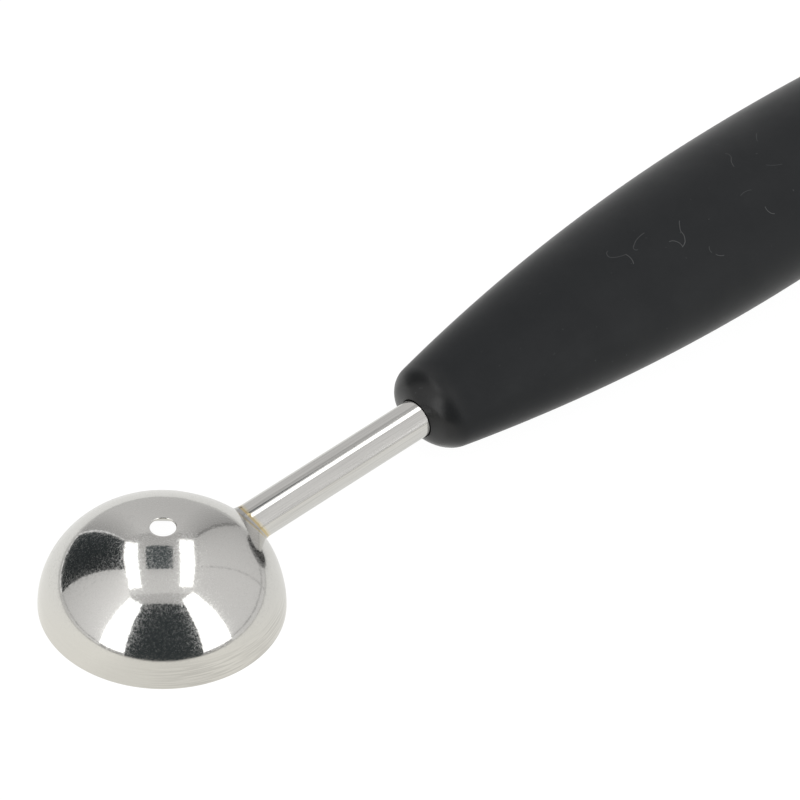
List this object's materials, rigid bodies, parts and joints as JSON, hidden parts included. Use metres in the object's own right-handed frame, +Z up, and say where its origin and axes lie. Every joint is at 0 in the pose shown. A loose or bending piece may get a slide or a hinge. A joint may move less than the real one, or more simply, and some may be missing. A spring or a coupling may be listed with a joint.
{
  "type": "melon baller",
  "caption": "Hand scoop for cutting balls of fruit: a round pressed cup with a vent hole, brazed to a short rod, with a soft oval grip over a keyed core.",
  "frame": {"origin": "on the table, under the middle of the tool's whole length, with the scoop mouth down", "axes": "+X from the scoop to the butt of the handle, +Y to the handle's left side, +Z up, away from the table"},
  "size_m": [0.1676, 0.03, 0.0205],
  "materials": {
    "polished_steel": "mirror polished pressed stainless steel, finely ground near the rim",
    "satin_steel": "drawn stainless rod with fine lengthwise scratches",
    "braze_metal": "golden silver-braze bead with a heat tint",
    "hard_plastic": "black moulded polypropylene",
    "soft_plastic": "matte black soft moulded elastomer with fine grain and a little lint"
  },
  "bodies": {
    "root": {"scoop_bowl": "polished_steel", "stem": "satin_steel", "braze_bead": "braze_metal", "handle_core": "hard_plastic", "soft_grip": "soft_plastic"}
  },
  "joints": []
}
